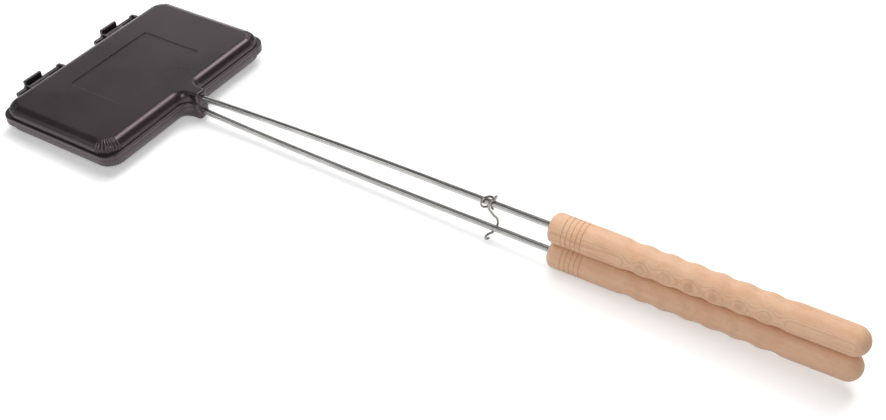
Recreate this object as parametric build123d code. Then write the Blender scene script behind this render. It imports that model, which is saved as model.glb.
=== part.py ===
"""Hinged two-plate waffle iron for a campfire: two cast plates, two long rods, two wooden handles
and a wire latch.

Millimetres. The origin is the middle of the lower plate's flat underside, +X runs along the rods
from the hinge to the handles, +Z is up. Both halves are the same about the parting plane.
"""
from build123d import *
from math import asin, atan2, cos, degrees, floor, pi, radians, sin, sqrt
import os

# Cast plates
head_depth = 147.0            # along the rods
head_width = 233.0
half_height = 15.0            # one plate, from the parting plane to its flat face
corner_radius = 15.0
rim_height = 4.6              # upright band beside the parting plane
rim_step = 2.4                # the body stands back from the band
rim_edge = 1.1                # rounding of the band's top edge
body_corner_radius = 18.0
shoulder_radius = 10.0
parting_gap = 0.4             # between the closed plates

# Flutes down the shoulder of each rounded corner
flute_count = 8
flute_radius = 1.4
flute_offset = 0.7            # a flute's axis outside the shoulder
flute_runs = 3                # straight runs along the shoulder's curve

# Sunk panel on the upper plate's face
panel_depth = 74.0
panel_width = 108.0
panel_sink = 0.9
panel_corner = 3.0

# Hollow that holds the batter, with its pegs
land_width = 7.0              # flat rim that closes on the other plate
hollow_depth = 10.6
hollow_corner = 12.0
hollow_draft = 12.0           # degrees
peg_pitch = 17.5
peg_base = 12.5
peg_tip = 8.6
peg_height = 6.6
peg_root = 1.0                # how far a peg runs into the floor it stands on
peg_margin = 3.0              # least space between the pegs and the wall

# Neck that takes the rod
neck_length = 13.0            # beyond the rim
neck_half_width = 7.0
neck_flare = 11.0             # radius of the hollow flare into the shoulder
neck_round = 3.2              # upright front corners
neck_crown = 2.6              # rounding of the top edges
neck_band = 1.4               # the band stands out from the neck's flanks
neck_drop = 0.05              # the neck's top stays this far below the flat face
neck_root = 12.0              # how far the neck runs into the body
neck_steps = 5                # plans along the shoulder's curve
neck_inset = 0.04             # the flares start this far inside the shoulder

# Rods
rod_diameter = 6.0
neck_rod_height = 7.9         # rod axis above the parting plane where it leaves the neck
rod_seat = 17.0               # held inside the neck
bow_length = 256.0            # the rods spread over this length and then run parallel
handle_seat = 120.0           # rod inside the handle

# Handles
handle_start = 471.0
handle_length = 267.0
handle_diameter = 27.3
handle_end_diameter = 25.0
handle_gap = 0.5              # between the two handles
handle_nose_radius = 5.5
ring_count = 5
ring_start = 14.3
ring_pitch = 4.4
ring_radius = 0.6
grip_count = 7
grip_start = 75.2             # first finger hollow, behind the handle's front
grip_pitch = 20.6
grip_sink = 1.25

# Hinge on the far edge: pins through ears on the lower plate, hooks on the upper plate
hinge_inset = 62.65           # middle of each hook, from the end of the plate
hinge_shift = -1.95           # both hinges sit this far to the left
hinge_reach = 12.1            # pin axis beyond the rim
pin_diameter = 6.0
pin_chamfer = 0.7
pin_overhang = 11.8           # the pin sticks out of its left ear
pin_margin = 0.4              # and out of its right ear
ear_wall = 1.4                # round the pin
ear_width = 2.7
ear_span = 19.4               # from the hook to the right ear
ear_side_gap = 0.45           # from the hook to the left ear
ear_foot = 8.6                # height of the ear's foot on the rim
ear_drop = 0.4                # the ear's foot stays this far below the land
ear_crown_rise = 3.6          # round top corner of the ear, above the pin axis
ear_crown_reach = 6.6         # and from the pin towards the rim
ear_crown_radius = 1.4
hook_width = 21.4
hook_clearance = 0.5          # between the hook and the pin
hook_thickness = 3.8
hook_rise = 6.8               # tip of the hook above the pin axis
hook_neck_height = 4.6
hook_root = 3.0
hook_edge = 0.6               # rounding of the hook's sides

# Wire latch on the upper rod
wire_diameter = 2.2
latch_place = 61.2            # middle of its turns, in front of the handle
latch_turns = 7               # quarter turns round the rod
latch_sway = 5.0              # the turns wander this far each way along the rod
latch_swell = 2.7             # and the outer one stands off the rod by up to this much more
latch_clearance = 0.5
latch_upper_bend = 9.2        # the arm's two bends, below the upper rod
latch_lower_bend = 18.9
latch_upper_lean = 2.6        # and how far each leans along the rods
latch_lower_lean = 4.0
latch_cross = 2.9             # the bends lie this far each side of the rods
latch_side_lean = 3.0         # where the arm passes the lower rod
latch_foot_lean = 1.5         # and where it turns under it
latch_curl_radius = 2.4
latch_curl_turn = 225.0       # degrees
latch_curl_steps = 3
latch_end_run = 6.0           # straight end in front of the lower rod
latch_tail = 3.4

# Derived places
rim_x = head_depth / 2
body_x = rim_x - rim_step
body_y = head_width / 2 - rim_step
parting = half_height
land_z = parting_gap / 2
shoulder_base = half_height - shoulder_radius
handle_axis = (handle_diameter + handle_gap) / 2
neck_end = rim_x + neck_length
bow_end = neck_end + bow_length
pin_radius = pin_diameter / 2
pin_x = -rim_x - hinge_reach
hinge_spread = head_width / 2 - hinge_inset
left_ear_y = -hook_width / 2 - ear_side_gap - ear_width / 2
right_ear_y = hook_width / 2 + ear_span + ear_width / 2
rod_radius = rod_diameter / 2
wire_radius = wire_diameter / 2


def rounded_block(depth, width, radius, low, high):
    """Upright block with rounded corners between two heights."""
    return extrude(Plane.XY.offset(low) * RectangleRounded(depth, width, radius), high - low)


def corner_flutes():
    """Grooves down the shoulder of each corner, in straight runs that fade out at the flat face."""
    ring = body_corner_radius - shoulder_radius
    reach = shoulder_radius + flute_offset
    fade = (flute_radius - flute_offset) / flute_runs
    flutes = []
    for side_x, side_y, first in ((1, 1, 0), (-1, 1, 90), (-1, -1, 180), (1, -1, 270)):
        corner = Vector(side_x * (body_x - body_corner_radius), side_y * (body_y - body_corner_radius), 0)
        for i in range(flute_count):
            turn = radians(first + (i + 0.5) * 90 / flute_count)
            out = Vector(cos(turn), sin(turn), 0)
            points = [corner + out * (ring + reach)]
            for run in range(flute_runs + 1):
                lean = radians(run * 90 / flute_runs)
                along = out * cos(lean) + Vector(0, 0, sin(lean))
                points.append(corner + out * ring + Vector(0, 0, shoulder_base) + along * (reach + fade * run))
            for low, high in zip(points, points[1:]):
                groove = Cylinder(flute_radius, (high - low).length, align=(Align.CENTER, Align.CENTER, Align.MIN))
                flutes.append(Plane(low, z_dir=high - low) * groove)
    return flutes


def neck_plan(face_x, half_width):
    """Plan of the neck where it leaves a face: two hollow flares, flanks and round front corners."""
    half_root = neck_half_width + neck_flare
    root_x = body_x - neck_root
    corner_x = neck_end - neck_round
    flare_end = (face_x + half_root - half_width, half_width)
    side = Curve() + [
        Line((root_x, half_root), (face_x, half_root)),
        TangentArc(flare_end, (face_x, half_root), tangent=(-1, 0)),
        Line(flare_end, (corner_x, half_width)),
        TangentArc((corner_x, half_width), (neck_end, half_width - neck_round), tangent=(1, 0)),
    ]
    back = Line((root_x, -half_root), (root_x, half_root))
    front = Line((neck_end, half_width - neck_round), (neck_end, neck_round - half_width))
    return make_face(Curve() + [side, mirror(side, Plane.XZ), back, front])


def neck():
    """Cast neck on the near edge. Its flares follow the shoulder up to the flat face."""
    foot_plan = Plane.XY.offset(land_z) * neck_plan(body_x - neck_inset, neck_half_width)
    foot = extrude(foot_plan, shoulder_base - land_z)
    bend = shoulder_radius - neck_inset
    top_lean = asin((shoulder_radius - neck_drop) / bend)
    plans = []
    for i in range(neck_steps + 1):
        lean = top_lean * i / neck_steps
        face_x = body_x - shoulder_radius + bend * cos(lean)
        plans.append(Pos(0, 0, shoulder_base + bend * sin(lean)) * neck_plan(face_x, neck_half_width))
    block = foot + loft(plans)
    top_edges = block.edges().group_by(Axis.Z)[-1]
    return fillet(top_edges.filter_by(lambda edge: edge.center().X > body_x - shoulder_radius), neck_crown)


def pegs():
    """Waffle pegs standing on the floor of the hollow."""
    slope = degrees(atan2((peg_base - peg_tip) / 2, peg_height))
    root_size = peg_base + 2 * peg_root * (peg_base - peg_tip) / 2 / peg_height
    peg = extrude(Rectangle(root_size, root_size), peg_root + peg_height, taper=slope)
    peg = Pos(0, 0, hollow_depth + peg_root) * Rot(180, 0, 0) * peg
    floor_inset = land_width + hollow_depth * sin(radians(hollow_draft)) / cos(radians(hollow_draft))
    room = 2 * (floor_inset + peg_margin) + peg_base
    count_x = floor((head_depth - room) / peg_pitch) + 1
    count_y = floor((head_width - room) / peg_pitch) + 1
    return [place * peg for place in GridLocations(peg_pitch, peg_pitch, count_x, count_y)]


def rim_band():
    """Upright band beside the parting plane, round the plate and along the neck."""
    plan = RectangleRounded(head_depth, head_width, corner_radius)
    plan = plan + neck_plan(rim_x, neck_half_width + neck_band)
    block = extrude(Plane.XY.offset(land_z) * plan, rim_height - land_z)
    return fillet(block.edges().group_by(Axis.Z)[-1], rim_edge)


def plate_half():
    """One plate with its parting plane at z = 0 and its flat face up."""
    body = rounded_block(2 * body_x, 2 * body_y, body_corner_radius, land_z, half_height)
    body = fillet(body.edges().group_by(Axis.Z)[-1], shoulder_radius)
    body = body - corner_flutes()
    hollow_size = RectangleRounded(head_depth - 2 * land_width, head_width - 2 * land_width, hollow_corner)
    hollow = extrude(hollow_size, hollow_depth, taper=hollow_draft)
    plate = body + rim_band() + neck() - hollow + pegs()
    return plate - rod_half()


def rod_half():
    """Rod of the upper half, seated in its neck, bowed out and then straight into the handle."""
    bow_start_point = (neck_end, neck_rod_height)
    bow_end_point = (bow_end, handle_axis)
    bow = TangentArc(bow_end_point, bow_start_point, tangent=(-1, 0))
    inward = bow % 1
    seat = Line(bow_start_point, Vector(*bow_start_point) + inward * rod_seat)
    straight = Line((handle_start + handle_seat, handle_axis), bow_end_point)
    path = Plane.XZ * (Curve() + [straight, bow, seat])
    start = Plane(path @ 0, z_dir=path % 0)
    return sweep(start * Circle(rod_radius), path=path.wire())


def handle_half():
    """Turned handle with rings at its front, finger hollows and a round end."""
    front_r = handle_diameter / 2
    end_r = handle_end_diameter / 2
    taper = (front_r - end_r) / (handle_length - end_r)

    def skin(x):
        return front_r - taper * x

    nose = skin(handle_nose_radius)
    lines = [Line((0, 0), (0, nose - handle_nose_radius))]
    corner = (handle_nose_radius, nose)
    lines.append(TangentArc(corner, (0, nose - handle_nose_radius), tangent=(-1, 0)))
    here = corner
    for i in range(ring_count):
        middle = ring_start + i * ring_pitch
        left = (middle - ring_radius, skin(middle - ring_radius))
        right = (middle + ring_radius, skin(middle + ring_radius))
        lines.append(Line(here, left))
        lines.append(ThreePointArc(left, (middle, skin(middle) - ring_radius), right))
        here = right
    wave_start = grip_start - grip_pitch / 2
    wave = [(wave_start, skin(wave_start))]
    for i in range(grip_count):
        low = grip_start + i * grip_pitch
        high = low + grip_pitch / 2
        wave.append((low, skin(low) - grip_sink))
        wave.append((high, skin(high)))
    lines.append(Line(here, wave[0]))
    lines.append(Spline(*wave, tangents=[(1, -taper), (1, -taper)]))
    dome_start = (handle_length - end_r, end_r)
    lines.append(Line(wave[-1], dome_start))
    lines.append(TangentArc(dome_start, (handle_length, 0), tangent=(1, 0)))
    lines.append(Line((handle_length, 0), (0, 0)))
    profile = make_face(Plane.XZ * (Curve() + lines))
    turned = Pos(handle_start, 0, handle_axis) * revolve(profile, Axis.X)
    return turned - rod_half()


def lower_ears(middle_y):
    """The two thin ears of one hinge, on the lower plate's rim."""
    knuckle = Pos(pin_x, parting) * Circle(pin_radius + ear_wall)
    crown_z = parting + ear_crown_rise
    crown = Pos(pin_x + ear_crown_reach, crown_z) * Circle(ear_crown_radius)
    top = (-rim_x, parting - ear_drop)
    bottom = (-rim_x, parting - ear_drop - ear_foot)
    outline = make_hull(knuckle.edges() + crown.edges() + [Line(top, bottom).edge()])
    root = Pos(-rim_x + hook_root / 2, top[1] - ear_foot / 2) * Rectangle(hook_root, ear_foot)
    hole = Pos(pin_x, parting) * Circle(pin_radius)
    ear = extrude(Plane.XZ * (outline + root - hole), ear_width / 2, both=True)
    return [Pos(0, middle_y + y, 0) * ear for y in (left_ear_y, right_ear_y)]


def hinge_pin(middle_y):
    """Straight pin pressed through both ears. It sticks out to the left."""
    left = left_ear_y - ear_width / 2 - pin_overhang
    right = right_ear_y + ear_width / 2 + pin_margin
    pin = Cylinder(pin_radius, right - left)
    pin = chamfer(pin.edges(), pin_chamfer)
    return Pos(pin_x, middle_y + (left + right) / 2, parting) * Rot(90, 0, 0) * pin


def upper_hook(middle_y):
    """Hook of the upper plate that runs under the pin and turns up outside it."""
    inner = pin_radius + hook_clearance
    outer = inner + hook_thickness
    tip = hook_thickness / 2
    neck_top = hook_neck_height
    outline = Curve() + [
        Line((hinge_reach + hook_root, land_z), (outer, land_z)),
        Line((outer, land_z), (outer, 0)),
        ThreePointArc((outer, 0), (0, -outer), (-outer, 0)),
        Line((-outer, 0), (-outer, hook_rise - tip)),
        ThreePointArc((-outer, hook_rise - tip), (-inner - tip, hook_rise), (-inner, hook_rise - tip)),
        Line((-inner, hook_rise - tip), (-inner, 0)),
        ThreePointArc((-inner, 0), (0, -inner), (inner, 0)),
        Line((inner, 0), (inner, neck_top - tip)),
        ThreePointArc((inner, neck_top - tip), (inner + tip * (1 - sqrt(0.5)),
                      neck_top - tip * (1 - sqrt(0.5))), (inner + tip, neck_top)),
        Line((inner + tip, neck_top), (hinge_reach + hook_root, neck_top)),
        Line((hinge_reach + hook_root, neck_top), (hinge_reach + hook_root, land_z)),
    ]
    section = make_face(Plane.XZ * outline)
    hook = extrude(section, hook_width / 2, both=True)
    sides = hook.edges().filter_by(Axis.Y, reverse=True)
    hook = fillet(sides.filter_by(lambda edge: edge.center().X < hinge_reach), hook_edge)
    return Pos(pin_x, middle_y, parting) * hook


def biarc(start, start_way, end, end_way):
    """Two arcs that meet smoothly between two points with given directions."""
    chord = end - start
    both_ways = start_way + end_way
    along = chord.dot(both_ways)
    spread = 2 * (1 - start_way.dot(end_way))
    if spread < 1e-9:
        reach = chord.length ** 2 / (2 * along)
    else:
        reach = (sqrt(along ** 2 + spread * chord.length ** 2) - along) / spread
    first = start + start_way * reach
    last = end - end_way * reach
    joint = (first + last) / 2
    return [TangentArc(start, joint, tangent=start_way),
            TangentArc(joint, end, tangent=(last - first).normalized())]


def latch_points():
    """Places along the latch wire and its direction at each, from the tail to the curled end.

    A direction of None is found afterwards from the places on both sides.
    """
    middle_x = handle_start - latch_place
    axis = Vector(middle_x, 0, parting + handle_axis)
    near = rod_radius + latch_clearance + wire_radius
    drop = 2 * handle_axis
    turns = []
    for i in range(latch_turns + 1):
        angle = i * pi / 2
        sway = -latch_sway * cos((max(angle, pi / 2) - 1.5 * pi) * 2 / 3)
        radius = near + latch_swell * sin((angle - pi / 2) / 4) ** 6
        turns.append((axis + Vector(sway, radius * sin(angle), -radius * cos(angle)), None))
    first = turns[0][0]
    turns[0] = (first, Vector(-0.5, 1, 0.1).normalized())
    tail = first + Vector(0.85, -0.45, -0.4).normalized() * latch_tail
    arm_top = Vector(turns[-1][0].X, 0, axis.Z)
    down = Vector(0, 0, -1)
    lead = Vector(-0.45, -1, -0.06).normalized()
    under = arm_top + Vector(latch_foot_lean, 0, -drop - near)
    arm = [
        (arm_top + Vector(latch_upper_lean, -latch_cross, -latch_upper_bend), None),
        (arm_top + Vector(latch_lower_lean, latch_cross, -latch_lower_bend), None),
        (arm_top + Vector(latch_side_lean, near, -drop), down),
        (under, lead),
        (under + lead * latch_end_run, lead),
    ]
    sheer = (down - lead * down.dot(lead)).normalized()
    centre = under + lead * latch_end_run + sheer * latch_curl_radius
    curl = []
    for i in range(1, latch_curl_steps + 1):
        angle = radians(latch_curl_turn * i / latch_curl_steps)
        place = centre + (lead * sin(angle) - sheer * cos(angle)) * latch_curl_radius
        curl.append((place, lead * cos(angle) + sheer * sin(angle)))
    return [(tail, (first - tail).normalized())] + turns + arm + curl


def report_latch_gap(path):
    """Print the wire's least gap to itself, measured on points along its middle line."""
    step = 0.35
    count = int(path.length / step)
    spots = [path @ (i / count) for i in range(count + 1)]
    apart = int(pi * wire_diameter / step)
    least = min((spots[i] - spots[j]).length
                for i in range(0, count, 2) for j in range(i + apart, count + 1))
    print("latch wire", round(path.length, 1), "mm long, least gap to itself",
          round(least - wire_diameter, 2), "mm")


def latch():
    """Bent wire: a tail, loose turns round the upper rod, an arm and a hook under the lower rod."""
    places = latch_points()
    points = [point for point, way in places]
    ways = [way for point, way in places]
    for i, way in enumerate(ways):
        if way is None:
            ways[i] = (points[i + 1] - points[i - 1]).normalized()
    pieces = []
    for i in range(len(points) - 1):
        chord = (points[i + 1] - points[i]).normalized()
        if min(chord.dot(ways[i]), chord.dot(ways[i + 1])) > 0.99999:
            pieces.append(Line(points[i], points[i + 1]))
        else:
            pieces.extend(biarc(points[i], ways[i], points[i + 1], ways[i + 1]))
    path = Wire([piece.edge() for piece in pieces])
    report_latch_gap(path)
    return sweep(Plane(points[0], z_dir=ways[0]) * Circle(wire_radius), path=path)


def raised(half):
    """The upper half's place of a piece that was made on the parting plane."""
    return Pos(0, 0, parting) * half


def dropped(half):
    """The lower half's place: the same piece turned over the parting plane."""
    return Pos(0, 0, parting) * mirror(half, Plane.XY)


def sunk_panel():
    """Shallow bare panel in the upper plate's face, with sloping sides."""
    top = Plane.XY.offset(parting + half_height)
    return extrude(top * RectangleRounded(panel_depth, panel_width, panel_corner), -panel_sink, taper=45)


def main():
    os.makedirs("parts", exist_ok=True)
    half = plate_half()
    rod = rod_half()
    handle = handle_half()
    upper = raised(half) - sunk_panel()
    lower = dropped(half)
    hinges = {"left": hinge_shift - hinge_spread, "right": hinge_shift + hinge_spread}
    for middle_y in hinges.values():
        upper = upper + upper_hook(middle_y)
        lower = lower + lower_ears(middle_y)
    nodes = {
        "upper_plate": upper,
        "lower_plate": lower,
        "hinge_pin_left": hinge_pin(hinges["left"]),
        "hinge_pin_right": hinge_pin(hinges["right"]),
        "upper_rod": raised(rod),
        "lower_rod": dropped(rod),
        "upper_handle": raised(handle),
        "lower_handle": dropped(handle),
        "wire_latch": latch(),
    }
    for name, shape in nodes.items():
        export_step(shape, f"parts/{name}.step")


main()
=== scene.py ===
from math import cos, pi, radians, sin

import bmesh
import bpy
from mathutils import Matrix, Vector


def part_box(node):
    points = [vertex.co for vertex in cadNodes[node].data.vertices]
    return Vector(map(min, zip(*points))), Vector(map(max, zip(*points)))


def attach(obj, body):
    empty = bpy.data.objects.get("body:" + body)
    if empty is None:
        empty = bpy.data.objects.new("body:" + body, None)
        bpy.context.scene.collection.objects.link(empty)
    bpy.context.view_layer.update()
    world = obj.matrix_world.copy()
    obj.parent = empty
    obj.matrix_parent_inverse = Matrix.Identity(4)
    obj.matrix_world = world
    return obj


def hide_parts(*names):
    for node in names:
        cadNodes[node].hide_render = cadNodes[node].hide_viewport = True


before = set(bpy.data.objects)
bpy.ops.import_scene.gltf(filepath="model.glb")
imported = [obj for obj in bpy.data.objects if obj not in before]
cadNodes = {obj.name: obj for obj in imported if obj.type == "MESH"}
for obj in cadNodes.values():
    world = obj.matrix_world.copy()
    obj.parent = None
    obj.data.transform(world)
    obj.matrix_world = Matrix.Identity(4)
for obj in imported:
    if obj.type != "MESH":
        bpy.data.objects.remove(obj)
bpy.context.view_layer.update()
mm = 0.001
print("frame loaded:", len(cadNodes), "parts")


# Small helpers for node trees

def addNode(tree, kind, inputs=None, **settings):
    node = tree.nodes.new(kind)
    for name, value in settings.items():
        setattr(node, name, value)
    for name, value in (inputs or {}).items():
        setInput(tree, node, name, value)
    return node


def setInput(tree, node, name, value):
    if isinstance(value, bpy.types.NodeSocket):
        tree.links.new(value, node.inputs[name])
    else:
        node.inputs[name].default_value = value


def calc(tree, operation, first, second=0.0, third=0.0, clamp=False):
    inputs = {0: first, 1: second, 2: third}
    return addNode(tree, "ShaderNodeMath", inputs, operation=operation, use_clamp=clamp).outputs[0]


def times(tree, first, second, clamp=False):
    return calc(tree, "MULTIPLY", first, second, clamp=clamp)


def between(tree, value, low, high):                # 1 inside, 0 outside
    return times(tree, calc(tree, "GREATER_THAN", value, low), calc(tree, "LESS_THAN", value, high))


def remap(tree, value, fromLow, fromHigh, toLow=0.0, toHigh=1.0, smooth=False):
    node = addNode(tree, "ShaderNodeMapRange", {
        "Value": value, "From Min": fromLow, "From Max": fromHigh, "To Min": toLow, "To Max": toHigh})
    if smooth:
        node.interpolation_type = "SMOOTHSTEP"
    return node.outputs["Result"]


def vectorCalc(tree, operation, first, second=None):
    node = addNode(tree, "ShaderNodeVectorMath", {0: first}, operation=operation)
    if second is not None:
        setInput(tree, node, "Scale" if operation == "SCALE" else 1, second)
    isNumber = operation in ("DOT_PRODUCT", "LENGTH", "DISTANCE")
    return node.outputs["Value" if isNumber else "Vector"]


def split(tree, vector):
    return addNode(tree, "ShaderNodeSeparateXYZ", {0: vector}).outputs


def join(tree, x, y, z):
    return addNode(tree, "ShaderNodeCombineXYZ", {0: x, 1: y, 2: z}).outputs[0]


def blendColor(tree, amount, first, second, mode="MIX"):
    node = addNode(tree, "ShaderNodeMix", data_type="RGBA", blend_type=mode)
    for index, value in ((0, amount), (6, first), (7, second)):
        setInput(tree, node, index, rgba(value))
    return node.outputs[2]


def rgba(value):
    return (*value, 1.0) if isinstance(value, (tuple, list)) and len(value) == 3 else value


def layerColors(tree, color, layers):               # each layer: how much, and of which color
    for amount, tint in layers:
        color = blendColor(tree, amount, color, tint)
    return color


def noise(tree, vector, scale, detail=3.0, roughness=0.5):
    node = addNode(tree, "ShaderNodeTexNoise", {
        "Vector": vector, "Scale": scale, "Detail": detail, "Roughness": roughness})
    return node.outputs["Fac"]


def mapped(tree, vector, location=(0, 0, 0), rotation=(0, 0, 0), scale=(1, 1, 1)):
    node = addNode(tree, "ShaderNodeMapping", {
        "Vector": vector, "Location": location, "Rotation": rotation, "Scale": scale})
    return node.outputs["Vector"]


def newGroup(name, kind, inputs, outputs):
    tree = bpy.data.node_groups.new(name, kind)
    for label, socketKind, default in inputs:
        socket = tree.interface.new_socket(label, in_out="INPUT", socket_type=socketKind)
        if default is not None:
            socket.default_value = default
    for label, socketKind in outputs:
        tree.interface.new_socket(label, in_out="OUTPUT", socket_type=socketKind)
    source = tree.nodes.new("NodeGroupInput")
    sink = tree.nodes.new("NodeGroupOutput")
    return tree, source.outputs, sink


def newEffect(name, numbers, outputs):              # shader group: a place and numbers go in
    inputs = [("Vector", "NodeSocketVector", None)]
    inputs += [(label, "NodeSocketFloat", number) for label, number in numbers.items()]
    return newGroup(name, "ShaderNodeTree", inputs, [(label, "NodeSocketFloat") for label in outputs])


def newShape(name, sizes):                          # geometry group: a guide goes in, a piece comes out
    kinds = {int: "NodeSocketInt", float: "NodeSocketFloat", tuple: "NodeSocketVector"}
    inputs = [("Geometry", "NodeSocketGeometry", None), ("Material", "NodeSocketMaterial", None)]
    inputs += [(label, kinds[type(size)], size) for label, size in sizes.items()]
    return newGroup(name, "GeometryNodeTree", inputs, [("Geometry", "NodeSocketGeometry")])


def useGroup(tree, group, inputs):
    return addNode(tree, "ShaderNodeGroup", inputs, node_tree=group).outputs


# Effects that several finishes share

def makeSlowTone():
    tree, source, sink = newEffect("slowTone", {"Scale": 20.0, "Low": 0.0, "High": 1.0}, ["Tone"])
    wide = noise(tree, source["Vector"], source["Scale"], 4.0, 0.55)
    tone = remap(tree, wide, 0.3, 0.7, source["Low"], source["High"], smooth=True)
    setInput(tree, sink, "Tone", tone)
    return tree


wearMarks = {"flat": 0.995, "edge": 0.86, "patchScale": 240.0, "patchFrom": 0.6, "patchTo": 0.75}


def makeEdgeWear():
    marks = wearMarks
    tree, source, sink = newEffect("edgeWear", {"Width": 0.0008, "Patchiness": 0.5}, ["Mask"])
    rounded = addNode(tree, "ShaderNodeBevel", {"Radius": source["Width"]}, samples=6).outputs[0]
    normal = addNode(tree, "ShaderNodeNewGeometry").outputs["Normal"]
    match = vectorCalc(tree, "DOT_PRODUCT", rounded, normal)
    turned = remap(tree, match, marks["flat"], marks["edge"])
    patches = noise(tree, source["Vector"], marks["patchScale"], 5.0, 0.65)
    start = times(tree, source["Patchiness"], marks["patchFrom"])
    broken = remap(tree, patches, start, marks["patchTo"], smooth=True)
    setInput(tree, sink, "Mask", times(tree, turned, broken))
    return tree


drawing = {
    "fine": (14, 2600, 2600), "fineShare": 0.6, "broad": (5, 620, 620), "broadShare": 0.4,
    "nickTurn": (0.3, 0.5, 0.7), "nicks": (900, 90, 400), "nickLow": 0.66, "nickHigh": 0.74,
    "nickDepth": 0.5, "streakLow": 0.35, "streakHigh": 0.65,
}


def makeDrawnMarks():
    work = drawing
    tree, source, sink = newEffect("drawnMarks", {"Fineness": 1.0}, ["Streaks", "Scratches", "Height"])
    scaled = vectorCalc(tree, "SCALE", source["Vector"], source["Fineness"])
    fine = noise(tree, mapped(tree, scaled, scale=work["fine"]), 1.0, 3.0, 0.6)
    broad = noise(tree, mapped(tree, scaled, scale=work["broad"]), 1.0, 2.0)
    streaks = calc(tree, "MULTIPLY_ADD", fine, work["fineShare"], times(tree, broad, work["broadShare"]))
    nickPlace = mapped(tree, scaled, rotation=work["nickTurn"], scale=work["nicks"])
    nicks = noise(tree, nickPlace, 1.0, 2.0, 0.7)
    scratches = remap(tree, nicks, work["nickLow"], work["nickHigh"], smooth=True)
    height = calc(tree, "SUBTRACT", streaks, times(tree, scratches, work["nickDepth"]))
    setInput(tree, sink, "Streaks", remap(tree, streaks, work["streakLow"], work["streakHigh"]))
    setInput(tree, sink, "Scratches", scratches)
    setInput(tree, sink, "Height", height)
    return tree


casting = {
    "swellScale": 0.16, "swellRise": 0.9, "sandRise": 0.45, "poreScale": 0.33, "poreLow": 0.04,
    "poreHigh": 0.2, "poreAreas": 130.0, "areaLow": 0.52, "areaHigh": 0.62,
}


def makeCastSkin():
    work = casting
    tree, source, sink = newEffect("castSkin", {"Grain": 1500.0, "Pits": 0.5}, ["Grit", "Height"])
    place, grain = source["Vector"], source["Grain"]
    sand = noise(tree, place, grain, 4.0, 0.6)
    swell = noise(tree, place, times(tree, grain, work["swellScale"]), 3.0, 0.5)
    pores = addNode(tree, "ShaderNodeTexVoronoi", {
        "Vector": place, "Scale": times(tree, grain, work["poreScale"])}).outputs["Distance"]
    pitted = remap(tree, pores, work["poreLow"], work["poreHigh"], 1.0, 0.0, smooth=True)
    chosen = remap(tree, noise(tree, place, work["poreAreas"], 2.0), work["areaLow"], work["areaHigh"])
    pitted = times(tree, times(tree, pitted, chosen), source["Pits"])
    swell = times(tree, swell, work["swellRise"])
    raised = calc(tree, "MULTIPLY_ADD", sand, work["sandRise"], swell)
    setInput(tree, sink, "Grit", sand)
    setInput(tree, sink, "Height", calc(tree, "SUBTRACT", raised, pitted))
    return tree


figuring = {
    "waver": (9, 34, 34), "lateFrom": 0.35, "lateTo": 0.92, "dashes": (420, 2300, 2300),
    "dashLow": 0.64, "dashHigh": 0.7, "fibre": (55, 3200, 3200), "fibreRise": 0.7,
    "ringSink": 0.25, "fleckSink": 0.35,
}


def makeWoodFigure():
    work = figuring
    tree, source, sink = newEffect("woodFigure", {"Ring Width": 0.0022, "Waver": 0.0025},
                                   ["Rings", "Flecks", "Fibre", "Height"])
    place = source["Vector"]
    waver = addNode(tree, "ShaderNodeTexNoise", {
        "Vector": mapped(tree, place, scale=work["waver"]), "Scale": 1.0, "Detail": 2.0})
    centred = vectorCalc(tree, "SUBTRACT", waver.outputs["Color"], (0.5, 0.5, 0.5))
    moved = vectorCalc(tree, "ADD", place, vectorCalc(tree, "SCALE", centred, source["Waver"]))
    parts = split(tree, moved)
    reach = vectorCalc(tree, "LENGTH", join(tree, 0.0, parts["Y"], parts["Z"]))
    phase = calc(tree, "FRACT", calc(tree, "DIVIDE", reach, source["Ring Width"]))
    late = remap(tree, phase, work["lateFrom"], work["lateTo"], smooth=True)
    rings = times(tree, late, remap(tree, phase, work["lateTo"], 1.0, 1.0, 0.0, smooth=True))
    dashes = noise(tree, mapped(tree, place, scale=work["dashes"]), 1.0, 1.0, 0.4)
    flecks = remap(tree, dashes, work["dashLow"], work["dashHigh"], smooth=True)
    fibre = noise(tree, mapped(tree, place, scale=work["fibre"]), 1.0, 3.0, 0.6)
    low = calc(tree, "MULTIPLY_ADD", rings, work["ringSink"], times(tree, flecks, work["fleckSink"]))
    height = calc(tree, "SUBTRACT", times(tree, fibre, work["fibreRise"]), low)
    for label, value in (("Rings", rings), ("Flecks", flecks), ("Fibre", fibre), ("Height", height)):
        setInput(tree, sink, label, value)
    return tree


slowTone, edgeWear, drawnMarks = makeSlowTone(), makeEdgeWear(), makeDrawnMarks()
castSkin, woodFigure = makeCastSkin(), makeWoodFigure()
print("shared effects ready")


# Finishes

def newFinish(name, fixed):
    material = bpy.data.materials.new(name)
    material.use_nodes = True
    tree = material.node_tree
    shader = tree.nodes["Principled BSDF"]
    for label, value in fixed.items():
        shader.inputs[label].default_value = value
    place = addNode(tree, "ShaderNodeTexCoord").outputs["Object"]
    return material, tree, shader, place


def dressShader(tree, shader, color, rough, height, bumpDepth):
    tree.links.new(color, shader.inputs["Base Color"])
    tree.links.new(rough, shader.inputs["Roughness"])
    bump = addNode(tree, "ShaderNodeBump", {"Height": height, "Distance": bumpDepth, "Strength": 1.0})
    tree.links.new(bump.outputs["Normal"], shader.inputs["Normal"])


def drift(tree, place, scale, low=0.0, high=1.0):
    inputs = {"Vector": place, "Scale": scale, "Low": low, "High": high}
    return useGroup(tree, slowTone, inputs)["Tone"]


def readMark(tree, name, output="Fac"):
    return addNode(tree, "ShaderNodeAttribute", attribute_name=name).outputs[output]


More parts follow.
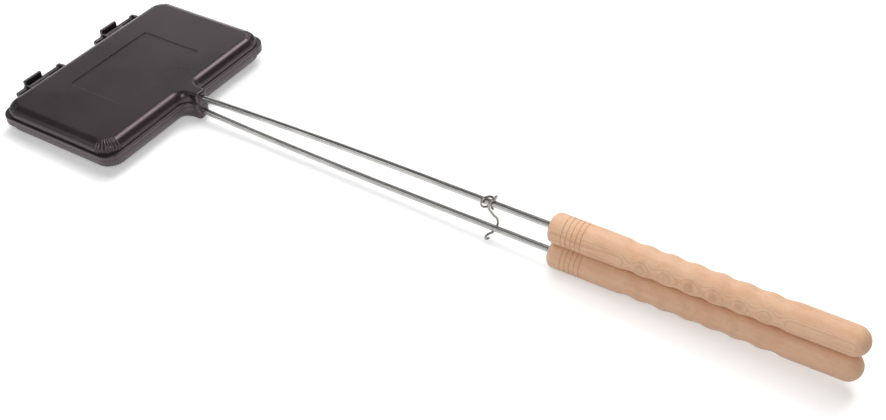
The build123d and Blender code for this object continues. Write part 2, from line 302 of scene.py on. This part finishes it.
castLook = {
    "dark": (0.0052, 0.0038, 0.0044), "light": (0.0112, 0.0082, 0.0094), "toneScale": 26.0,
    "warm": (0.017, 0.0105, 0.0105), "warmScale": 9.0, "warmShare": 0.45,
    "grain": 1700.0, "pits": 0.8, "gritLow": 0.4, "gritHigh": 0.7, "gritShare": 0.35,
    "worn": (0.17, 0.147, 0.152), "wearWidth": 0.0014, "wearPatchiness": 0.6,
    "wearPolish": 0.1, "wearMetal": 0.6, "rough": (0.27, 0.33), "bump": 0.00004,
    "ior": 1.75, "sheenTint": (1.0, 0.79, 0.87, 1.0),
}


def makeCastFinish():
    look = castLook
    fixed = {"IOR": look["ior"], "Specular Tint": look["sheenTint"]}
    material, tree, shader, place = newFinish("seasonedCast", fixed)
    tone = drift(tree, place, look["toneScale"])
    warmth = drift(tree, place, look["warmScale"], high=look["warmShare"])
    skin = useGroup(tree, castSkin, {"Vector": place, "Grain": look["grain"], "Pits": look["pits"]})
    wear = useGroup(tree, edgeWear, {
        "Vector": place, "Width": look["wearWidth"], "Patchiness": look["wearPatchiness"]})["Mask"]
    grit = remap(tree, skin["Grit"], look["gritLow"], look["gritHigh"], 0.0, look["gritShare"])
    color = layerColors(tree, look["dark"], (
        (tone, look["light"]), (warmth, look["warm"]), (grit, look["light"]), (wear, look["worn"])))
    rough = remap(tree, tone, 0.0, 1.0, *look["rough"])
    rough = calc(tree, "SUBTRACT", rough, times(tree, wear, look["wearPolish"]))
    tree.links.new(times(tree, wear, look["wearMetal"]), shader.inputs["Metallic"])
    dressShader(tree, shader, color, rough, skin["Height"], look["bump"])
    return material


steelLooks = {
    "drawnRod": {"bright": (0.60, 0.59, 0.575), "dull": (0.33, 0.322, 0.312), "rough": (0.14, 0.26)},
    "dullPin": {"bright": (0.11, 0.10, 0.10), "dull": (0.05, 0.045, 0.046), "rough": (0.3, 0.46),
                "turn": (0, 0, pi / 2)},
    "bentWireSteel": {"bright": (0.46, 0.425, 0.40), "dull": (0.2, 0.18, 0.17), "rough": (0.16, 0.3),
                      "along": "wireCoord"},
}
steelWork = {
    "streaks": 0.5, "tone": 0.4, "scratches": 0.5, "toneScale": 45.0, "toneRough": 0.08,
    "fineness": 1.0, "bump": 0.000012,
}


def makeSteelFinish(name):
    look, work = steelLooks[name], steelWork
    material, tree, shader, place = newFinish(name, {"Metallic": 1.0})
    if "along" in look:
        place = readMark(tree, look["along"], "Vector")
    place = mapped(tree, place, rotation=look.get("turn", (0, 0, 0)))
    marks = useGroup(tree, drawnMarks, {"Vector": place, "Fineness": work["fineness"]})
    tone = drift(tree, place, work["toneScale"])
    color = look["bright"]
    for amount, share in ((marks["Streaks"], work["streaks"]), (tone, work["tone"]),
                          (marks["Scratches"], work["scratches"])):
        color = blendColor(tree, times(tree, amount, share), color, look["dull"])
    rough = remap(tree, marks["Streaks"], 0.0, 1.0, *look["rough"])
    rough = calc(tree, "MULTIPLY_ADD", tone, work["toneRough"], rough)
    dressShader(tree, shader, color, rough, marks["Height"], work["bump"])
    return material


beechLook = {
    "pale": (0.80, 0.53, 0.345),
    "pink": (0.75, 0.43, 0.285), "pinkShare": 0.65, "pinkScale": 75.0, "pinkStretch": (0.4, 1, 1),
    "orange": (0.70, 0.37, 0.20), "orangeScale": 110.0, "orangeLow": -0.6,
    "orangeStretch": (0.6, 1, 1), "orangePlace": (1.7, 0, 0),
    "ring": (0.55, 0.31, 0.18), "ringShare": 0.42, "ringWidth": 0.0009, "ringWaver": 0.0036,
    "bandShare": 0.10, "bandWidth": 4.3, "bandWaver": 0.005,     # a band is some rings wide
    "fleck": (0.50, 0.29, 0.17), "fleckShare": 0.5,
    "fibreLow": 0.45, "fibreHigh": 0.75, "fibreShare": 0.25,
    "worn": (0.46, 0.265, 0.155), "wornShare": 1.1, "wornScale": 130.0, "wornLow": 0.1,
    # darker colour laid into the ring grooves, stronger where a groove is deeper
    "grooveDark": (0.50, 0.235, 0.10), "grooveDarkShare": 0.4,
    "rough": (0.52, 0.44), "bump": 0.00004,
}
beechCuts = {                                       # where in the log each handle was cut
    "beechUpper": {"pith": (0.0, -0.029, -0.0235), "lean": (0.012, 0.003, 0.002), "blotches": 0.5},
    "beechLower": {"pith": (0.3, -0.016, -0.022), "lean": (-0.014, -0.012, 0.018), "blotches": 0.2},
}


def makeBeechFinish(name):
    look, cut = beechLook, beechCuts[name]
    material, tree, shader, place = newFinish(name, {})
    grain = mapped(tree, place, location=cut["pith"], rotation=cut["lean"])
    figure = useGroup(tree, woodFigure, {
        "Vector": grain, "Ring Width": look["ringWidth"], "Waver": look["ringWaver"]})
    bands = useGroup(tree, woodFigure, {
        "Vector": grain, "Ring Width": look["ringWidth"] * look["bandWidth"],
        "Waver": look["bandWaver"]})
    pink = drift(tree, mapped(tree, place, scale=look["pinkStretch"]), look["pinkScale"])
    orangePlace = mapped(tree, place, location=look["orangePlace"], scale=look["orangeStretch"])
    orange = drift(tree, orangePlace, look["orangeScale"], low=look["orangeLow"])
    uneven = drift(tree, place, look["wornScale"], low=look["wornLow"])
    rubbed = times(tree, readMark(tree, "knob"), uneven)
    fibre = remap(tree, figure["Fibre"], look["fibreLow"], look["fibreHigh"], 0.0, look["fibreShare"])
    color = layerColors(tree, look["pale"], (
        (times(tree, pink, look["pinkShare"]), look["pink"]),
        (times(tree, orange, cut["blotches"], clamp=True), look["orange"]),
        (times(tree, bands["Rings"], look["bandShare"]), look["ring"]),
        (times(tree, figure["Rings"], look["ringShare"]), look["ring"]),
        (times(tree, figure["Flecks"], look["fleckShare"]), look["fleck"]),
        (fibre, look["ring"]),
        (times(tree, rubbed, cut["blotches"] * look["wornShare"]), look["worn"]),
        # the ring grooves are coloured darker, more where they are deeper
        (times(tree, readMark(tree, "groove"), look["grooveDarkShare"]), look["grooveDark"])))
    rough = remap(tree, figure["Rings"], 0.0, 1.0, *look["rough"])
    dressShader(tree, shader, color, rough, figure["Height"], look["bump"])
    return material


castFinish = makeCastFinish()
rodFinish, pinFinish, wireFinish = (makeSteelFinish(name) for name in steelLooks)
upperBeech, lowerBeech = (makeBeechFinish(name) for name in beechCuts)
for nodeName, finish in (("upper_plate", castFinish), ("lower_plate", castFinish),
                         ("upper_rod", rodFinish), ("lower_rod", rodFinish),
                         ("hinge_pin_left", pinFinish), ("hinge_pin_right", pinFinish)):
    cadNodes[nodeName].data.materials[0] = finish
print("finishes on the cast plates, rods and pins")


# Node trees that build shapes

weldDistance = 0.000002


def finishTree(tree, sink, shape, material):
    for kind, inputs in (("GeometryNodeMergeByDistance", {"Distance": weldDistance}),
                         ("GeometryNodeSetShadeSmooth", {}), ("GeometryNodeRealizeInstances", {}),
                         ("GeometryNodeSetMaterial", {"Material": material})):
        shape = addNode(tree, kind, {"Geometry": shape, **inputs}).outputs[0]
    setInput(tree, sink, "Geometry", shape)


def storeAttribute(tree, shape, name, value, dataType="FLOAT"):
    node = addNode(tree, "GeometryNodeStoreNamedAttribute", {"Geometry": shape, "Name": name},
                   data_type=dataType, domain="POINT")
    setInput(tree, node, "Value", value)
    return node.outputs[0]


def readAttribute(tree, name, dataType="FLOAT"):
    node = addNode(tree, "GeometryNodeInputNamedAttribute", {"Name": name}, data_type=dataType)
    return node.outputs["Attribute"]


def growPiece(name, source, tree, values, body, slotName, *replaced):
    modifier = source.modifiers.new(name, "NODES")
    modifier.node_group = tree
    for item in tree.interface.items_tree:
        if item.in_out == "INPUT" and item.name in values:
            modifier[item.identifier] = values[item.name]
    bpy.context.view_layer.update()
    evaluated = source.evaluated_get(bpy.context.evaluated_depsgraph_get())
    mesh = bpy.data.meshes.new_from_object(evaluated)
    source.modifiers.remove(modifier)
    bpy.data.objects.remove(source)
    shell = bmesh.new()
    shell.from_mesh(mesh)
    bmesh.ops.recalc_face_normals(shell, faces=shell.faces)
    shell.to_mesh(mesh)
    shell.free()
    mesh.name = name
    piece = newObject(name, mesh)
    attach(piece, body)
    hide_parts(*replaced)
    print(name, "has", len(mesh.polygons), "faces")


def newObject(name, data):
    made = bpy.data.objects.new(name, data)
    bpy.context.scene.collection.objects.link(made)
    return made


# Turned handles, sizes in millimetres

handle = {
    "length": 267.0, "frontRadius": 13.65, "endRadius": 12.5, "noseRadius": 5.5,
    "boreRadius": 3.1, "boreDepth": 14.0, "boreChamfer": 0.6, "chamferEase": 0.15,
    "ringCount": 5, "firstRing": 14.3, "ringPitch": 4.4, "ringDepth": 0.6, "ringHalfWidth": 0.75,
    "gripCount": 7, "firstGrip": 75.2, "gripPitch": 20.6, "gripSink": 1.25,
    "rubbedSide": -76.0, "rubbedEdge": 0.80, "knobEdge": 0.45,
    "unevenness": 0.12, "waverAlong": 34.0, "waverScale": 1.2, "waverFrom": 6.0,
    "segments": 96, "noseSteps": 16, "endSteps": 24, "ringStep": 0.15, "gripStep": 1.0,
    "afterNose": 0.5, "afterRings": 2.0, "beforeEnd": 0.4,
}


def handleProfile():                                # distance from the front, radius, and ring depth
    spec = handle
    domeStart = spec["length"] - spec["endRadius"]
    taper = (spec["frontRadius"] - spec["endRadius"]) / domeStart
    bore, depth, nose = spec["boreRadius"], spec["boreDepth"], spec["noseRadius"]
    chamfer, ease = spec["boreChamfer"], spec["chamferEase"]
    points = [(depth, 0.0), (depth, bore), (chamfer + ease, bore),
              (chamfer * 0.9, bore + chamfer * 0.1), (chamfer * 0.1, bore + chamfer * 0.9),
              (0.0, bore + chamfer + ease)]
    noseTop = spec["frontRadius"] - taper * nose
    for step in range(spec["noseSteps"] + 1):       # rounded front edge
        angle = radians(90 * step / spec["noseSteps"])
        points.append((nose * (1 - cos(angle)), noseTop - nose * (1 - sin(angle))))
    rings = [spec["firstRing"] + i * spec["ringPitch"] for i in range(spec["ringCount"])]
    grooves = [0.0] * len(points)
    x = nose + spec["afterNose"]
    while x < domeStart - spec["beforeEnd"]:
        offset = min(abs(x - ring) for ring in rings) / spec["ringHalfWidth"]
        dip = (1 + cos(pi * offset)) / 2 if offset < 1 else 0.0
        points.append((x, spec["frontRadius"] - taper * x - spec["ringDepth"] * dip))
        grooves.append(dip)
        x += spec["ringStep"] if x < rings[-1] + spec["afterRings"] else spec["gripStep"]
    for step in range(spec["endSteps"] + 1):        # round end
        angle = radians(90 * step / spec["endSteps"])
        points.append((domeStart + spec["endRadius"] * sin(angle), spec["endRadius"] * cos(angle)))
    grooves += [0.0] * (len(points) - len(grooves))
    return points, grooves


def makeTurnedTree():
    spec = handle
    tree, source, sink = newShape("turnedHandle", {
        "Segments": 64, "Front": (0.0, 0.0, 0.0), "First Grip": 0.068, "Grip Pitch": 0.02,
        "Grip Count": 7, "Grip Sink": 0.001, "Unevenness": 0.0001, "Seed": 1.0, "Rubbed Side": 2.0})
    profile, pitch = source["Geometry"], source["Grip Pitch"]
    count = addNode(tree, "GeometryNodeAttributeDomainSize", {"Geometry": profile}, component="MESH")
    around = calc(tree, "ADD", source["Segments"], 1)
    grid = addNode(tree, "GeometryNodeMeshGrid", {
        "Vertices X": count.outputs["Point Count"], "Vertices Y": around}).outputs["Mesh"]
    index = addNode(tree, "GeometryNodeInputIndex").outputs[0]
    station = calc(tree, "FLOOR", calc(tree, "DIVIDE", calc(tree, "ADD", index, 0.5), around))
    turn = calc(tree, "SUBTRACT", index, times(tree, station, around))
    turn = times(tree, calc(tree, "DIVIDE", turn, source["Segments"]), 2 * pi)
    sine, cosine = calc(tree, "SINE", turn), calc(tree, "COSINE", turn)

    def sample(value, dataType):
        inputs = {"Geometry": profile, "Value": value, "Index": station}
        return addNode(tree, "GeometryNodeSampleIndex", inputs, data_type=dataType).outputs[0]

    position = addNode(tree, "GeometryNodeInputPosition").outputs[0]
    spot = split(tree, sample(position, "FLOAT_VECTOR"))
    groove = sample(readAttribute(tree, "groove"), "FLOAT")

    # finger hollows
    start = calc(tree, "SUBTRACT", source["First Grip"], times(tree, pitch, 0.5))
    wave = calc(tree, "DIVIDE", calc(tree, "SUBTRACT", spot["X"], start), pitch)
    dip = calc(tree, "SUBTRACT", 1.0, calc(tree, "COSINE", times(tree, wave, 2 * pi)))
    dip = times(tree, times(tree, dip, 0.5), between(tree, wave, 0.0, source["Grip Count"]))
    radius = calc(tree, "SUBTRACT", spot["Y"], times(tree, dip, source["Grip Sink"]))

    # rubbed patches on the crests between the hollows
    side = calc(tree, "COSINE", calc(tree, "SUBTRACT", turn, source["Rubbed Side"]))
    side = remap(tree, side, spec["rubbedEdge"], 1.0, smooth=True)
    crest = remap(tree, dip, spec["knobEdge"], 0.0, smooth=True)
    lastCrest = calc(tree, "SUBTRACT", source["Grip Count"], 0.5)
    knob = times(tree, times(tree, side, crest), between(tree, wave, 0.5, lastCrest))

    # the turning is a little uneven outside the bore
    lookup = join(tree, times(tree, spot["X"], spec["waverAlong"]), cosine, sine)
    waver = addNode(tree, "ShaderNodeTexNoise", {
        "Vector": lookup, "W": source["Seed"], "Scale": spec["waverScale"], "Detail": 1.0},
        noise_dimensions="4D").outputs["Fac"]
    outside = calc(tree, "GREATER_THAN", radius, spec["waverFrom"] * mm)
    waver = times(tree, waver, times(tree, outside, source["Unevenness"]))
    radius = calc(tree, "SUBTRACT", radius, waver)

    place = join(tree, spot["X"], times(tree, radius, sine), times(tree, radius, cosine))
    shape = storeAttribute(tree, grid, "groove", groove)
    shape = storeAttribute(tree, shape, "knob", knob)
    shape = addNode(tree, "GeometryNodeSetPosition", {
        "Geometry": shape, "Position": place, "Offset": source["Front"]}).outputs[0]
    finishTree(tree, sink, shape, source["Material"])
    return tree


turnedTree = makeTurnedTree()


def makeHandle(name, node, body, material, seed):
    spec = handle
    low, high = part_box(node)
    points, grooves = handleProfile()
    edges = [(i, i + 1) for i in range(len(points) - 1)]
    mesh = bpy.data.meshes.new(name + "Profile")
    mesh.from_pydata([(x * mm, radius * mm, 0) for x, radius in points], edges, [])
    mesh.attributes.new("groove", "FLOAT", "POINT").data.foreach_set("value", grooves)
    growPiece(name, newObject(name + "Profile", mesh), turnedTree, {
        "Segments": spec["segments"], "Front": (low.x, 0.0, (low.z + high.z) / 2),
        "First Grip": spec["firstGrip"] * mm, "Grip Pitch": spec["gripPitch"] * mm,
        "Grip Count": spec["gripCount"], "Grip Sink": spec["gripSink"] * mm,
        "Unevenness": spec["unevenness"] * mm, "Seed": seed,
        "Rubbed Side": radians(spec["rubbedSide"]), "Material": material,
    }, body, "handle_wood", node)


makeHandle("beechHandleUpper", "upper_handle", "upper_half", upperBeech, 3.0)
makeHandle("beechHandleLower", "lower_handle", "lower_half", lowerBeech, 8.0)


# Wire latch, sizes in millimetres

latch = {
    "wireRadius": 1.1, "rodRadius": 3.0, "clearance": 0.5, "place": 61.2,
    "quarterTurns": 7, "sway": 5.0, "swell": 2.7,
    "tail": 3.4, "tailWay": (0.85, -0.45, -0.4),
    "upperBend": 9.2, "upperLean": 2.6, "lowerBend": 18.9, "lowerLean": 4.0, "cross": 2.9,
    "sideLean": 3.0, "footLean": 1.5, "endRun": 6.0, "endWay": (-0.45, -1, -0.06),
    "curlRadius": 2.4, "curlTurn": 225.0, "curlSteps": 5,
    "firstWay": (-0.5, 1, 0.1), "firstIn": 1.2, "firstOut": 2.4,     # how the first turn begins
    "step": 0.25, "sides": 20, "smoothness": 24,
}


def latchPoints():
    spec = latch
    low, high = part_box("upper_handle")
    lowerLow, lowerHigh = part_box("lower_handle")
    axisZ = (low.z + high.z) / 2 / mm
    drop = axisZ - (lowerLow.z + lowerHigh.z) / 2 / mm
    axis = Vector((low.x / mm - spec["place"], 0, axisZ))
    near = spec["rodRadius"] + spec["clearance"] + spec["wireRadius"]
    turns = []
    for i in range(spec["quarterTurns"] + 1):       # loose turns that sway along the rod and widen
        angle = i * pi / 2
        sway = -spec["sway"] * cos((max(angle, pi / 2) - 1.5 * pi) * 2 / 3)
        radius = near + spec["swell"] * sin((angle - pi / 2) / 4) ** 6
        turns.append(axis + Vector((sway, radius * sin(angle), -radius * cos(angle))))
    tail = turns[0] + Vector(spec["tailWay"]).normalized() * spec["tail"]
    armTop = Vector((turns[-1].x, 0, axis.z))
    lead = Vector(spec["endWay"]).normalized()
    under = armTop + Vector((spec["footLean"], 0, -drop - near))
    arm = [armTop + Vector((spec["upperLean"], -spec["cross"], -spec["upperBend"])),
           armTop + Vector((spec["lowerLean"], spec["cross"], -spec["lowerBend"])),
           armTop + Vector((spec["sideLean"], near, -drop)), under, under + lead * spec["endRun"]]
    down = Vector((0, 0, -1))
    sheer = (down - lead * down.dot(lead)).normalized()
    centre = arm[-1] + sheer * spec["curlRadius"]
    curl = []
    for i in range(1, spec["curlSteps"] + 1):
        angle = radians(spec["curlTurn"] * i / spec["curlSteps"])
        curl.append(centre + (lead * sin(angle) - sheer * cos(angle)) * spec["curlRadius"])
    return [tail] + turns + arm + curl


def makeWireTree():
    tree, source, sink = newShape("bentWire", {"Wire Radius": 0.001, "Step": 0.0003, "Sides": 16})
    thickness = source["Wire Radius"]
    path = addNode(tree, "GeometryNodeResampleCurve", {
        "Curve": source["Geometry"], "Length": source["Step"]}, mode="LENGTH").outputs[0]
    along = addNode(tree, "GeometryNodeSplineParameter").outputs["Length"]
    whole = addNode(tree, "GeometryNodeSplineLength").outputs["Length"]
    path = storeAttribute(tree, path, "along", along)

    # both tips are rounded over a wire radius
    toEnd = calc(tree, "MINIMUM", along, calc(tree, "SUBTRACT", whole, along))
    nearTip = calc(tree, "SUBTRACT", 1.0, calc(tree, "DIVIDE", toEnd, thickness), clamp=True)
    rounding = calc(tree, "SQRT", calc(tree, "SUBTRACT", 1.0, times(tree, nearTip, nearTip)))
    path = storeAttribute(tree, path, "rounding", rounding)

    section = addNode(tree, "GeometryNodeCurvePrimitiveCircle", {
        "Resolution": source["Sides"], "Radius": thickness}).outputs[0]
    spot = addNode(tree, "GeometryNodeInputPosition").outputs[0]
    section = storeAttribute(tree, section, "around", spot, "FLOAT_VECTOR")
    wire = addNode(tree, "GeometryNodeCurveToMesh", {
        "Curve": path, "Profile Curve": section, "Scale": readAttribute(tree, "rounding")}).outputs[0]
    ring = split(tree, readAttribute(tree, "around", "FLOAT_VECTOR"))
    coord = join(tree, readAttribute(tree, "along"), ring["X"], ring["Y"])
    wire = storeAttribute(tree, wire, "wireCoord", coord, "FLOAT_VECTOR")
    finishTree(tree, sink, wire, source["Material"])
    return tree


def makeLatch():
    spec = latch
    curve = bpy.data.curves.new("latchPath", "CURVE")
    curve.dimensions = "3D"
    curve.resolution_u = spec["smoothness"]
    points = latchPoints()
    spline = curve.splines.new("BEZIER")
    spline.bezier_points.add(len(points) - 1)
    for knot, point in zip(spline.bezier_points, points):
        knot.co = point * mm
        knot.handle_left_type = knot.handle_right_type = "AUTO"
    first = spline.bezier_points[1]
    first.handle_left_type = first.handle_right_type = "FREE"
    way = Vector(spec["firstWay"]).normalized()
    first.handle_left = first.co - way * spec["firstIn"] * mm
    first.handle_right = first.co + way * spec["firstOut"] * mm
    growPiece("wireLatch", newObject("latchPath", curve), makeWireTree(), {
        "Wire Radius": spec["wireRadius"] * mm, "Step": spec["step"] * mm,
        "Sides": spec["sides"], "Material": wireFinish,
    }, "latch", "latch_wire", "wire_latch")


makeLatch()


# Floor, leaning because the handles are thicker than the head

floorLook = {
    "slope": -0.02344, "touchX": -0.0635, "size": 6.0,
    "dipStart": -0.08, "dipLength": 0.27, "dip": 0.0145, "dipSteps": 24,
    "color": (0.8, 0.8, 0.805), "rough": 0.3, "cloudScale": 3.0, "cloudLow": 0.97,
    "fill": 0.34, "middle": (0.3, 0.0, 0.0), "near": 0.5, "far": 1.5,
}


def makeFloorMesh():                                # behind the head it sinks for the open iron
    look = floorLook
    size, start, run, steps = look["size"], look["dipStart"], look["dipLength"], look["dipSteps"]
    stations = [-size] + [start - run * (1 - i / steps) for i in range(steps + 1)] + [size]
    corners = []
    for x in stations:
        share = min(max((start - x) / run, 0.0), 1.0)
        share = share * share * (3 - 2 * share)
        z = (1 - share) * look["slope"] * (x - look["touchX"]) - share * look["dip"]
        corners += [(x, -size, z), (x, size, z)]
    strips = [(2 * i, 2 * i + 2, 2 * i + 3, 2 * i + 1) for i in range(len(stations) - 1)]
    mesh = bpy.data.meshes.new("floor")
    mesh.from_pydata(corners, [], strips)
    mesh.shade_smooth()
    return mesh


def makeFloor():
    look = floorLook
    floor = newObject("floor", makeFloorMesh())
    material, tree, shader, place = newFinish("whiteTable", {
        "Roughness": look["rough"], "Emission Color": (1, 1, 1, 1)})
    clouds = drift(tree, place, look["cloudScale"], low=look["cloudLow"])
    color = blendColor(tree, 1.0, look["color"], clouds, "MULTIPLY")
    tree.links.new(color, shader.inputs["Base Color"])
    ray = addNode(tree, "ShaderNodeLightPath").outputs
    straight = calc(tree, "MAXIMUM", ray["Is Glossy Ray"], ray["Is Transmission Ray"])
    straight = calc(tree, "MAXIMUM", ray["Is Camera Ray"], straight)
    away = vectorCalc(tree, "DISTANCE", place, look["middle"])
    fill = remap(tree, away, look["near"], look["far"], look["fill"], 1.0, smooth=True)
    tree.links.new(times(tree, straight, fill), shader.inputs["Emission Strength"])
    floor.data.materials.append(material)


makeFloor()
print("floor ready")


# Light

lights = {                                          # angles are azimuth and elevation in degrees
    "overhead": {"target": 0.16, "toward": (118, 77), "away": 1.0, "size": (1.0, 0.75),
                 "shine": 3.35, "sheen": False},
    "front": {"target": 0.24, "toward": (-52, 42), "away": 1.15, "size": (0.5, 0.5),
              "shine": 4.5, "sheen": True},
}
sky = {
    "low": 0.55, "high": 0.17, "top": 0.3, "seen": (1.0, 1.0, 1.0),
    "panels": (
        {"toward": (132, 11), "inner": 5, "outer": 24, "shine": 1.4},
        {"toward": (92, 56), "inner": 7, "outer": 19, "shine": 5.0},
        {"toward": (236, 30), "inner": 4, "outer": 14, "shine": 2.0},
    ),
}


def heading(azimuth, elevation):
    turn, rise = radians(azimuth), radians(elevation)
    return Vector((cos(turn) * cos(rise), sin(turn) * cos(rise), sin(rise)))


def makeLights():
    for name, spec in lights.items():
        target = Vector((spec["target"], 0.0, 0.0))
        data = bpy.data.lights.new(name, "AREA")
        data.shape = "RECTANGLE"
        data.size, data.size_y = spec["size"]
        data.energy = spec["shine"] * pi * data.size * data.size_y
        lamp = newObject(name, data)
        lamp.location = target + heading(*spec["toward"]) * spec["away"]
        lamp.rotation_mode = "QUATERNION"
        lamp.rotation_quaternion = (target - lamp.location).to_track_quat("-Z", "Y")
        lamp.visible_glossy = spec["sheen"]


def makeWorld():
    world = bpy.data.worlds.new("studio")
    world.use_nodes = True
    bpy.context.scene.world = world
    tree = world.node_tree
    way = addNode(tree, "ShaderNodeTexCoord").outputs["Generated"]
    shade = remap(tree, split(tree, way)["Z"], 0.0, sky["top"], sky["low"], sky["high"], smooth=True)
    for panel in sky["panels"]:
        match = vectorCalc(tree, "DOT_PRODUCT", way, heading(*panel["toward"]))
        dark, bright = cos(radians(panel["outer"])), cos(radians(panel["inner"]))
        shade = calc(tree, "ADD", shade, remap(tree, match, dark, bright, 0.0, panel["shine"],
                                               smooth=True))
    seen = addNode(tree, "ShaderNodeLightPath").outputs["Is Camera Ray"]
    color = blendColor(tree, seen, shade, sky["seen"])
    tree.links.new(color, tree.nodes["Background"].inputs["Color"])


makeLights()
makeWorld()
bpy.context.scene.view_settings.view_transform = "Standard"
print("light ready")


# Camera

camera = {
    "at": (0.797916, -0.660502, 0.689453), "look": (-0.414917, 0.62885, -0.657564),
    "right": (0.84782, 0.529514, -0.028575), "lens": 47.911, "sensor": 36.0,
    "nearest": 0.02, "farthest": 60.0,
}


def makeCamera():
    look, right = Vector(camera["look"]).normalized(), Vector(camera["right"]).normalized()
    data = bpy.data.cameras.new("camera")
    data.lens, data.sensor_width, data.sensor_fit = camera["lens"], camera["sensor"], "HORIZONTAL"
    data.clip_start, data.clip_end = camera["nearest"], camera["farthest"]
    viewer = newObject("camera", data)
    turn = Matrix((right, right.cross(look), -look)).transposed().to_4x4()
    viewer.matrix_world = Matrix.Translation(camera["at"]) @ turn
    bpy.context.scene.camera = viewer


makeCamera()
print("camera ready")
